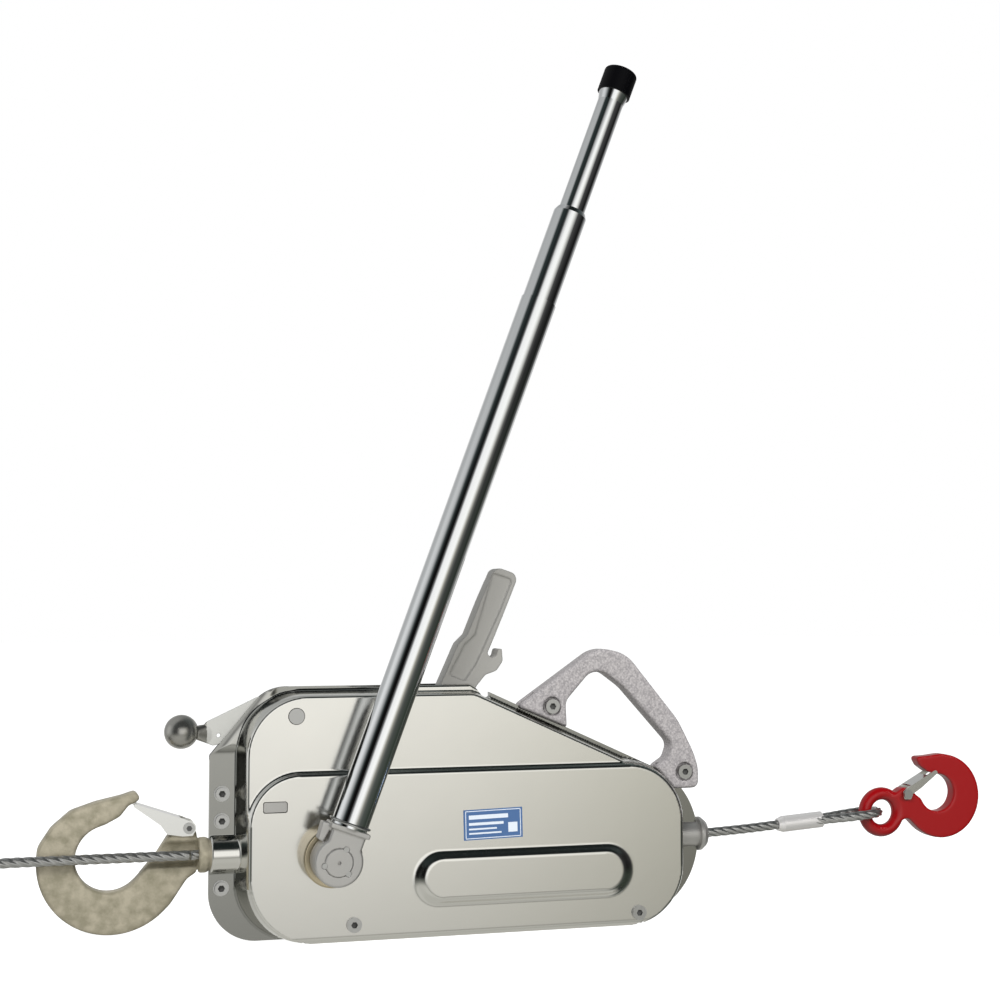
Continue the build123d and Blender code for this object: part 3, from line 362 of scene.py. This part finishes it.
def depth_of(x, z):
    """How far the pressed skin stands in front of the parting plane."""
    z = np.maximum(z, 0.3)
    height = UPPER_D * rise(distance(OUTLINES["base"], x, z), distance(OUTLINES["upper"], x, z))
    foot = distance(OUTLINES["foot"], x, z)
    step = share_in(foot, distance(OUTLINES["lower"], x, z))
    step = 0.69 * s_curve(step / 0.15) + 0.31 * s_curve((step - 0.1) / 0.9)  # steep at its foot, then easy
    low = np.where(foot < 0, FOOT_D + (LOWER_D - FOOT_D) * step, 0)
    height = soft_max(height, low, 0.5)
    height += (STADIUM_D - LOWER_D) * rise(stadium(x, z, *STADIUM_FOOT), stadium(x, z, *STADIUM_TOP))
    height = soft_max(height, np.full_like(height, SHEET), 1.5)
    strip = distance(np.array(JOGGLE, float), x, z)
    height = soft_max(height, SHEET + JOGGLE_RISE * s_curve(-strip / 8), 1.0)
    collar = distance(np.array(COLLAR, float), x, z)
    height = soft_max(height, SHEET + COLLAR_RISE * s_curve(-collar / 3), 1.0)
    boss = np.where((x > BOSS_FROM) & (x < BOSS_TO), np.sqrt(np.maximum(BOSS_R**2 - (z - BOSS_Z) ** 2, 0)), 0)
    height = soft_max(height, boss, 2.0)
    drop = LOWER_BEND - np.sqrt(np.maximum(LOWER_BEND**2 - np.maximum(LOWER_BEND - z, 0) ** 2, 0))
    return np.where(height > 12, height - drop, height)


TIE_SLOT = rounded([(-174.2, 106.1, 1.5), (-154.4, 106.1, 1.5), (-154.4, 115.3, 1.5), (-174.2, 115.3, 1.5)])
SLOT_END = np.array([(13.2, 196.4), (22.8, 192.9), (22.8, 206.5), (-1, 209), (8.6, 202.4)])  # for the reverse lever


def holes_distance(x, z):
    """Signed distance to the nearest hole's edge, negative inside a hole."""
    found = np.minimum(distance(TIE_SLOT, x, z), distance(SLOT_END, x, z))
    for hole_x, hole_z, radius in ROUND_HOLES:
        found = np.minimum(found, np.hypot(x - hole_x, z - hole_z) - radius)
    for ear in EARS:
        found = np.minimum(found, np.hypot(x - ear[0], z - ear[1]) - EAR_HOLE_R)
    return found


def sheet_edge(x, z):
    """Signed distance to the sheet's edge or a hole's edge, whichever is nearer, negative on the sheet."""
    return np.maximum(edge_distance(x, z), -holes_distance(x, z))


# signed distances of the lines that the skin bends along
CREASES = [
    *(lambda x, z, outline=OUTLINES[key]: distance(outline, x, z) for key in ("base", "upper", "foot", "lower")),
    lambda x, z: stadium(x, z, *STADIUM_FOOT),
    lambda x, z: stadium(x, z, *STADIUM_TOP),
    lambda x, z: distance(np.array(COLLAR, float), x, z),
]


def drawn_to(line, x, z, reach, only_outside):
    """Moves the places (x, z) that are nearly on a line, given by its signed distance, onto it."""
    gap = line(x, z)
    near = (gap > 0) & (gap < reach) if only_outside else np.abs(gap) < reach
    tiny = 0.05
    slope_x = (line(x + tiny, z) - gap) / tiny
    slope_z = (line(x, z + tiny) - gap) / tiny
    return np.where(near, x - gap * slope_x, x), np.where(near, z - gap * slope_z, z)


def casing_skin(name, side, *nodes):
    """One pressed half: side -1 is the operator's, +1 the far one."""
    xs = np.arange(-GRID_X, GRID_X + 0.01, GRID)
    zs = np.arange(-GRID, TALL + GRID * 1.01, GRID)
    x, z = np.meshgrid(xs, zs)
    for crease in CREASES:
        x, z = drawn_to(crease, x, z, reach=0.55 * GRID, only_outside=False)
    kept = sheet_edge(x, z)
    for _ in range(2):
        x, z = drawn_to(sheet_edge, x, z, reach=2.2 * GRID, only_outside=True)
    depth = depth_of(x, z)
    usable = kept <= 0
    rows, columns = x.shape
    index = -np.ones(x.shape, int)
    corners, faces = [], []
    for r in range(rows - 1):
        for c in range(columns - 1):
            quad = [(r, c), (r, c + 1), (r + 1, c + 1), (r + 1, c)]
            if not any(usable[q] for q in quad):
                continue
            for q in quad:
                if index[q] < 0:
                    index[q] = len(corners)
                    corners.append((x[q] * MM, side * depth[q] * MM, z[q] * MM))
            face = [index[q] for q in quad]
            faces.append(face if side < 0 else face[::-1])
    piece = mesh_piece(name, corners, faces)
    work = bmesh.new()
    work.from_mesh(piece.data)
    bmesh.ops.remove_doubles(work, verts=work.verts, dist=0.00005)
    rim = [edge for edge in work.edges if edge.is_boundary]
    grown = bmesh.ops.extrude_edge_only(work, edges=rim)["geom"]
    for vert in (g for g in grown if isinstance(g, bmesh.types.BMVert)):
        px, pz = vert.co.x / MM, vert.co.z / MM
        back = 0.0  # the rim goes back to the parting plane, but less far at the collar, the joggle and deep holes
        if -62 < px < 22 and pz > 185:
            back = COLLAR_RISE
        elif px < -150 and pz > 147:
            back = 1.6
        if float(holes_distance(np.array([px]), np.array([pz]))[0]) < 0.6 and abs(vert.co.y) > 0.02:
            back = abs(vert.co.y) / MM - 2.2
        vert.co.y = side * back * MM
    for face in work.faces:
        face.smooth = True
    bmesh.ops.recalc_face_normals(work, faces=work.faces)
    for edge in rim:
        edge.smooth = False
    work.to_mesh(piece.data)
    work.free()
    return stand_in(piece, *nodes)


casing_skin("casing_front_skin", -1, "front_shell")
casing_skin("casing_rear_skin", 1, "rear_shell")


# ---------------------------------------------------------------- label lines, and painted shade in socket bottoms
def marks(name, shapes, depth, finish, node):
    """Thin plates, each from a list of corners (x, z) in mm, whose fronts stand depth mm before the parting plane."""
    thick = 0.2
    corners, faces = [], []
    for shape in shapes:
        first, count = len(corners), len(shape)
        for y in (-depth, -depth + thick):
            corners.extend((x * MM, y * MM, z * MM) for x, z in shape)
        front = tuple(range(first, first + count))
        faces += [front, tuple(k + count for k in front[::-1])]
        for k in front:
            after = first + (k - first + 1) % count
            faces.append((k, k + count, after + count, after))
    piece = mesh_piece(name, corners, faces)
    paint(piece, finish)
    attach(piece, body_of[node])


LABEL_X, LABEL_Z, LABEL_TURN = 18, 91, math.radians(1.5)


def label_bar(x, z, width, height):
    """A bar on the label, from the label's middle and along its slightly turned sides."""
    c, s = math.cos(LABEL_TURN), math.sin(LABEL_TURN)
    sides = [(x + a * width / 2, z + b * height / 2) for a, b in ((-1, -1), (1, -1), (1, 1), (-1, 1))]
    return [(LABEL_X + c * px - s * pz, LABEL_Z + s * px + c * pz) for px, pz in sides]


def hexagon(x, z, radius):
    turns = [math.radians(60 * k) for k in range(6)]
    return [(x + radius * math.cos(turn), z + radius * math.sin(turn)) for turn in turns]


LABEL_BARS = [
    (0, 11.2, 48, 0.6), (0, -11.2, 48, 0.6), (-23.7, 0, 0.6, 22.4), (23.7, 0, 0.6, 22.4), (-4, 6.2, 34, 3.4),
    (-6, 0.6, 30, 2.2), (-9, -3.6, 24, 1.3), (-7, -7.2, 28, 1.3), (17, -3.6, 8, 8),
]
marks("label_lines", [label_bar(*bar) for bar in LABEL_BARS], 31.46, WHITE_INK, "label_plate")
# dark hexagons that are painted shade at the bottoms of the bolt and screw sockets and in the latch pin's bore
marks("flange_bolt_socket_shade", [hexagon(-204, z, 2.85) for z in (120, 98, 44)], 4.6, SOCKET_SHADE, "flange_bolts")
marks("latch_pin_bore_shade", [hexagon(-229.1, 91.9, 2.4)], -3.4, SOCKET_SHADE, "anchor_latch_pin")
marks("low_screw_socket_shade", [hexagon(-99.5, 14, 2.75), hexagon(147.6, 11, 2.75)], 31.7, SOCKET_SHADE, "low_screws")
marks("carrying_bolt_socket_shade", [hexagon(*ear, 2.95) for ear in EARS], 10.1, SOCKET_SHADE, "carrying_handle_bolts")


# ---------------------------------------------------------------- wire rope
def smooth_route(points):
    """Points along the smooth line that a rope takes past the points of its route."""
    line = bpy.data.curves.new("route", "CURVE")
    line.dimensions = "3D"
    line.resolution_u = 12
    spline = line.splines.new("NURBS")
    spline.points.add(len(points) - 1)
    for point, place in zip(spline.points, points):
        point.co = (*place, 1)
    spline.order_u = 3
    spline.use_endpoint_u = True
    holder = bpy.data.objects.new("route", line)
    bpy.context.scene.collection.objects.link(holder)
    bpy.context.view_layer.update()
    traced = bpy.data.meshes.new_from_object(holder.evaluated_get(bpy.context.evaluated_depsgraph_get()))
    places = [vert.co.copy() for vert in traced.vertices]
    bpy.data.objects.remove(holder)
    return places


def evenly(places, step):
    """Places a fixed step apart along a line of places."""
    line = np.array(places, float)
    reach = np.concatenate(([0], np.cumsum(np.linalg.norm(np.diff(line, axis=0), axis=1))))
    count = max(int(reach[-1] / step), 2)
    wanted = np.linspace(0, reach[-1], count + 1)
    return np.stack([np.interp(wanted, reach, line[:, k]) for k in range(3)], axis=1)


STRANDS = 6
LAY = 0.052  # the length of rope in which the strands turn once


def laid_rope(name, places, step=0.0016, around=30):
    """A rope of six strands laid around its middle line, as one mesh tube."""
    line = evenly(places, step)
    ahead = np.gradient(line, axis=0)
    ahead /= np.linalg.norm(ahead, axis=1)[:, None]
    side = np.cross(ahead[0], (0, 0, 1) if abs(ahead[0][2]) < 0.9 else (0, 1, 0))
    middle_r, strand_r = ROPE_D * 0.327, ROPE_D * 0.173
    angles = np.arange(around) * 2 * math.pi / around
    off = (angles * STRANDS + math.pi) % (2 * math.pi) - math.pi
    off /= STRANDS
    radius = middle_r * np.cos(off) + np.sqrt(np.maximum(strand_r**2 - (middle_r * np.sin(off)) ** 2, 0))
    corners, faces = [], []
    for i, (place, tangent) in enumerate(zip(line, ahead)):
        side = side - tangent * (side @ tangent)
        side /= np.linalg.norm(side)
        other = np.cross(tangent, side)
        turn = 2 * math.pi * i * step / LAY
        ring = np.outer(radius * np.cos(angles + turn), side) + np.outer(radius * np.sin(angles + turn), other)
        corners.extend(map(tuple, ring + place))
        if i:
            for k in range(around):
                n = (k + 1) % around
                a, b = (i - 1) * around, i * around
                faces.append((a + k, a + n, b + n, b + k))
    last = len(line) * around
    faces.append(tuple(range(around))[::-1])
    faces.append(tuple(range(last - around, last)))
    piece = mesh_piece(name, corners, faces)
    for polygon in piece.data.polygons:
        polygon.use_smooth = len(polygon.vertices) == 4
    paint(piece, WIRE)
    return piece


casing_low, casing_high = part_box("rope_in_casing")
inside = laid_rope("rope_through_casing", [(casing_low.x, 0, ROPE_Z), (casing_high.x, 0, ROPE_Z)])
stand_in(inside, "rope_in_casing")

# the free end: straight out of the anchor hook, down to its coil, and wound there layer by layer from the top
COIL_ROWS, COIL_COLUMNS, COIL_FIRST_R = 6, 4, 0.046
COIL_X, COIL_Y = -0.471, COIL_FIRST_R
COLUMNS = [COIL_FIRST_R + ROPE_D * k for k in range(COIL_COLUMNS)]
ROWS = [ROPE_D * (COIL_ROWS - 0.5 - k) for k in range(COIL_ROWS)]
PER_TURN = 24
ROUTE = [(-0.228, 0, ROPE_Z), (-0.350, 0, ROPE_Z), (-0.390, 0, ROPE_Z), (-0.446, 0, ROWS[0])]
turns = [(radius, row) for k, row in enumerate(ROWS) for radius in (COLUMNS if k % 2 == 0 else COLUMNS[::-1])]
for (radius, height), (after_r, after_z) in zip(turns, turns[1:] + turns[-1:]):
    for k in range(PER_TURN):
        share = s_curve((k / PER_TURN - 0.72) / 0.28)  # steps over to the next turn near the end of this one
        angle = math.radians(-90) - 2 * math.pi * k / PER_TURN
        r = radius + (after_r - radius) * share
        z = height + (after_z - height) * share
        ROUTE.append((COIL_X + r * math.cos(angle), COIL_Y + r * math.sin(angle), z))
tail_line = smooth_route(ROUTE)
tail = laid_rope("rope_free_end", tail_line, step=0.0024, around=24)
stand_in(tail, "rope_tail", "rope_coil")

# the load end: through the ferrule, round the hook's eye and back into the ferrule
LOAD_ROUTE = [
    (0.222, 0, ROPE_Z), (0.258, 0, 0.0726), (0.304, 0, 0.07644), (0.320, -0.0020, 0.0777), (0.3358, -0.0043, 0.0788),
    (0.350, -0.0068, 0.0800), (0.366, -0.0103, 0.0814), (0.3926, -0.0103, 0.084), (0.3926, 0.0103, 0.084),
    (0.366, 0.0103, 0.0814), (0.350, 0.0068, 0.0800), (0.3358, 0.0043, 0.0788), (0.3235, 0.0043, 0.0779),
]
load_line = smooth_route(LOAD_ROUTE)
load_end = laid_rope("rope_load_end", load_line, step=0.0012)
stand_in(load_end, "rope_stub", "rope_eye_loop")


# ---------------------------------------------------------------- light, surroundings and camera
def surroundings():
    """The room that the metal mirrors. The camera sees plain white instead.

    It is bright in front, behind and to the left, and dark between front and left, to the right and high up.
    """
    world = bpy.data.worlds.new("studio")
    bpy.context.scene.world = world
    world.use_nodes = True
    nodes = world.node_tree.nodes
    links = world.node_tree.links
    nodes.clear()

    def math_node(operation, *values):
        made = nodes.new("ShaderNodeMath")
        made.operation = operation
        for socket, value in zip(made.inputs, values):
            if isinstance(value, (int, float)):
                socket.default_value = value
            else:
                links.new(value, socket)
        return made.outputs[0]

    def ramp(value, stops):
        made = nodes.new("ShaderNodeValToRGB")
        stones = made.color_ramp.elements
        while len(stones) < len(stops):
            stones.new(0.5)
        for stone, (position, colour) in zip(stones, stops):
            stone.position = position
            stone.color = (*colour, 1)
        links.new(value, made.inputs["Fac"])
        return made.outputs["Color"]

    place = nodes.new("ShaderNodeTexCoord")
    split = nodes.new("ShaderNodeSeparateXYZ")
    links.new(place.outputs["Generated"], split.inputs[0])
    x, y, z = split.outputs
    # degrees from the operator's side towards +X, and degrees up, each as a share of the ramp
    bearing = math_node("MULTIPLY_ADD", math_node("ARCTAN2", x, math_node("MULTIPLY", y, -1.0)), 0.5 / math.pi, 0.5)
    height = math_node("MULTIPLY_ADD", math_node("ARCSINE", z), 1 / math.pi, 0.5)

    def around(*stops):
        return ramp(bearing, [(0.5 + degrees / 360, colour) for degrees, colour in stops])

    def upward(*stops):
        return ramp(height, [(0.5 + degrees / 180, (value,) * 3) for degrees, value in stops])

    def over(below, above, factor):
        mix = nodes.new("ShaderNodeMix")
        mix.data_type = "RGBA"
        links.new(factor, mix.inputs["Factor"])
        links.new(below, mix.inputs["A"])
        links.new(above, mix.inputs["B"])
        return mix.outputs["Result"]

    def plain(*colour):
        made = nodes.new("ShaderNodeRGB")
        made.outputs[0].default_value = (*colour, 1)
        return made.outputs[0]

    level = around(
        (-180, (0.9, 0.9, 0.89)), (-164, (0.85, 0.85, 0.84)), (-150, (0.40, 0.41, 0.41)), (-125, (0.50, 0.51, 0.51)),
        (-104, (0.80, 0.81, 0.81)), (-90, (0.72, 0.73, 0.72)), (-74, (0.36, 0.37, 0.37)), (-60, (0.05, 0.06, 0.06)),
        (-50, (0.006, 0.006, 0.006)), (-35, (0.004, 0.004, 0.004)), (-26, (0.13, 0.13, 0.13)),
        (-16, (0.95, 0.95, 0.94)), (0, (1.08, 1.08, 1.06)), (10, (1.05, 1.04, 1.0)), (16, (0.90, 0.89, 0.84)),
        (22, (0.64, 0.63, 0.56)), (28, (0.37, 0.36, 0.31)), (40, (0.14, 0.14, 0.13)), (55, (0.03, 0.03, 0.03)),
        (92, (0.006, 0.006, 0.006)), (112, (0.05, 0.05, 0.05)), (132, (0.7, 0.7, 0.69)), (150, (0.88, 0.88, 0.86)),
        (180, (0.9, 0.9, 0.89)),
    )
    above = around(
        (-180, (0.7, 0.7, 0.7)), (-150, (0.42, 0.43, 0.43)), (-125, (0.48, 0.49, 0.49)), (-104, (0.80, 0.81, 0.81)),
        (-90, (0.72, 0.73, 0.73)), (-74, (0.36, 0.37, 0.37)), (-60, (0.05, 0.06, 0.06)),
        (-50, (0.006, 0.006, 0.006)), (-35, (0.004, 0.004, 0.004)),
        (-26, (0.13, 0.13, 0.13)), (-16, (0.95, 0.95, 0.94)), (14, (1.05, 1.05, 1.02)), (24, (0.80, 0.80, 0.76)),
        (34, (0.42, 0.42, 0.40)), (44, (0.06, 0.06, 0.06)), (92, (0.006, 0.006, 0.006)), (135, (0.5, 0.5, 0.5)),
        (180, (0.7, 0.7, 0.7)),
    )
    raised = around(
        (-180, (0.35, 0.36, 0.36)), (-125, (0.45, 0.46, 0.46)), (-80, (0.45, 0.46, 0.46)), (-62, (0.03, 0.04, 0.04)),
        (-20, (0.012, 0.016, 0.016)), (60, (0.012, 0.016, 0.016)), (110, (0.10, 0.12, 0.12)), (180, (0.35, 0.36, 0.36)),
    )
    low = around(
        (-180, (0.62, 0.62, 0.60)), (-135, (0.45, 0.45, 0.43)), (-90, (0.30, 0.31, 0.28)),
        (-30, (0.26, 0.27, 0.25)), (20, (0.20, 0.20, 0.185)), (45, (0.08, 0.09, 0.08)), (90, (0.03, 0.04, 0.03)),
        (135, (0.5, 0.5, 0.48)), (180, (0.62, 0.62, 0.60)),
    )
    below = around(
        (-180, (0.62, 0.62, 0.60)), (-90, (0.45, 0.45, 0.43)), (-30, (0.58, 0.58, 0.55)), (20, (0.52, 0.52, 0.49)),
        (45, (0.08, 0.09, 0.08)), (92, (0.03, 0.04, 0.03)), (135, (0.5, 0.5, 0.48)), (180, (0.62, 0.62, 0.60)),
    )
    room = over(plain(0.50, 0.50, 0.47), below, upward((-58, 0), (-44, 1)))
    room = over(room, low, upward((-25, 0), (-15, 1)))
    room = over(room, level, upward((-19, 0), (-4, 1)))
    room = over(room, above, upward((-5, 0), (3, 1)))
    room = over(room, raised, upward((20, 0), (34, 1)))
    room = over(room, plain(0.18, 0.18, 0.18), upward((78, 0), (86, 1)))
    lit = nodes.new("ShaderNodeBackground")
    links.new(room, lit.inputs["Color"])
    seen = nodes.new("ShaderNodeBackground")
    seen.inputs["Color"].default_value = (1, 1, 1, 1)
    seen.inputs["Strength"].default_value = 1.0
    choose = nodes.new("ShaderNodeMixShader")
    eye = nodes.new("ShaderNodeLightPath")
    links.new(eye.outputs["Is Camera Ray"], choose.inputs["Fac"])
    links.new(lit.outputs[0], choose.inputs[1])
    links.new(seen.outputs[0], choose.inputs[2])
    out = nodes.new("ShaderNodeOutputWorld")
    links.new(choose.outputs[0], out.inputs["Surface"])


def lamp(name, place, target, size, power):
    """A soft square light, aimed at a place, that polished metal doesn't mirror."""
    data = bpy.data.lights.new(name, "AREA")
    data.size = size
    data.energy = power
    made = bpy.data.objects.new(name, data)
    made.location = place
    made.rotation_euler = (Vector(target) - Vector(place)).to_track_quat("-Z", "Y").to_euler()
    bpy.context.scene.collection.objects.link(made)
    made.visible_glossy = False


FLOOR_REACH, FLOOR_Z, FLOOR_GLOW = 9, -0.0004, 0.93


def floor():
    """A plain pale floor. Its glow keeps it nearly as white as the room, so it shows only a trace of a shadow."""
    square = [(-1, -1), (1, -1), (1, 1), (-1, 1)]
    made = mesh_piece("floor", [(x * FLOOR_REACH, y * FLOOR_REACH, FLOOR_Z) for x, y in square], [(0, 1, 2, 3)])
    finish = material("floor_white", (0.55, 0.55, 0.55), 0.0, 0.9)
    shader = finish.node_tree.nodes["Principled BSDF"]
    shader.inputs["Emission Color"].default_value = (1, 1, 1, 1)
    shader.inputs["Emission Strength"].default_value = FLOOR_GLOW
    shader.inputs["Specular IOR Level"].default_value = 0.0
    paint(made, finish)
    made.visible_glossy = False
    made.visible_diffuse = False


surroundings()
floor()
lamp("key", (-0.9, -1.4, 1.5), (0, 0, 0.2), size=0.8, power=42)
lamp("fill", (1.3, -1.1, 0.9), (0.1, 0, 0.2), size=0.6, power=19)

bpy.context.scene.view_settings.view_transform = "Standard"
camera_data = bpy.data.cameras.new("camera")
camera_data.sensor_width = 36
camera_data.lens = 59.4
camera = bpy.data.objects.new("camera", camera_data)
camera.location = (-0.367, -1.368, 0.280)
AZIMUTH, PITCH = math.radians(-16.3), math.radians(3.36)
looking = Vector((-math.sin(AZIMUTH) * math.cos(PITCH), math.cos(AZIMUTH) * math.cos(PITCH), math.sin(PITCH)))
camera.rotation_euler = looking.to_track_quat("-Z", "Y").to_euler()
bpy.context.scene.collection.objects.link(camera)
bpy.context.scene.camera = camera
